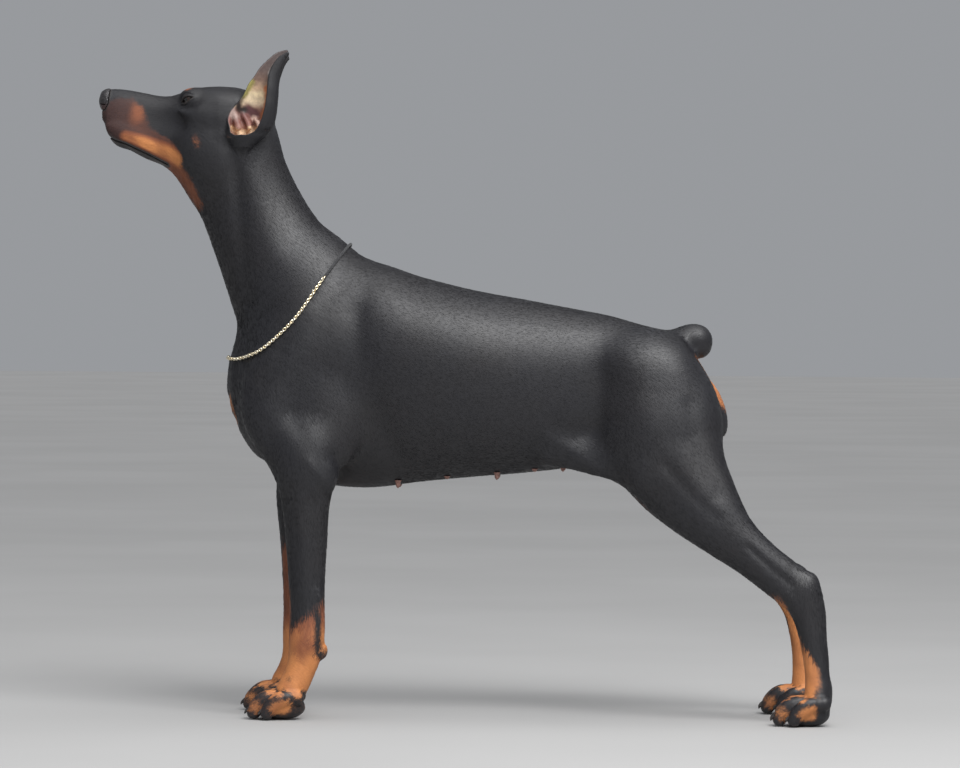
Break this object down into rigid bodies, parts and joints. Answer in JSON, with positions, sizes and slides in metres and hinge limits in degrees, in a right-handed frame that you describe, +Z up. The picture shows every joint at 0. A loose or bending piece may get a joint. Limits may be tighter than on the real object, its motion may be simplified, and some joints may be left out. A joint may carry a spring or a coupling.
{
  "type": "doberman pinscher, still life-size model",
  "caption": "Life-size black and rust doberman in show stance, with cropped ears, docked tail and a thin chain collar.",
  "frame": {"origin": "on the floor under the middle of the dog's box, between its four paws", "axes": "the dog faces -X, its left side is towards -Y, +Z is up"},
  "size_m": [1.0967, 0.278, 0.9887],
  "materials": {
    "coat": "short glossy black hair with rust markings",
    "nose_leather": "moist pebbled black",
    "eyes": "wet dark brown",
    "claws": "black horn",
    "chain": "polished pale gold",
    "cord": "woven black cord"
  },
  "bodies": {
    "root": {"head": "coat", "nose": "nose_leather", "eye_left": "eyes", "eye_right": "eyes", "ear_left": "coat", "ear_right": "coat", "neck": "coat", "torso": "coat", "tail": "coat", "shoulder_left": "coat", "shoulder_right": "coat", "thigh_left": "coat", "thigh_right": "coat", "forearm_left": "coat", "forearm_right": "coat", "gaskin_left": "coat", "gaskin_right": "coat", "hock_left": "coat", "hock_right": "coat", "fore_paw_left": "coat", "fore_paw_right": "coat", "hind_paw_left": "coat", "hind_paw_right": "coat", "fore_claw_left_1": "claws", "fore_claw_left_2": "claws", "fore_claw_left_3": "claws", "fore_claw_left_4": "claws", "fore_claw_right_1": "claws", "fore_claw_right_2": "claws", "fore_claw_right_3": "claws", "fore_claw_right_4": "claws", "hind_claw_left_1": "claws", "hind_claw_left_2": "claws", "hind_claw_left_3": "claws", "hind_claw_left_4": "claws", "hind_claw_right_1": "claws", "hind_claw_right_2": "claws", "hind_claw_right_3": "claws", "hind_claw_right_4": "claws", "collar_chain": "chain", "collar_cord": "cord"}
  },
  "joints": []
}
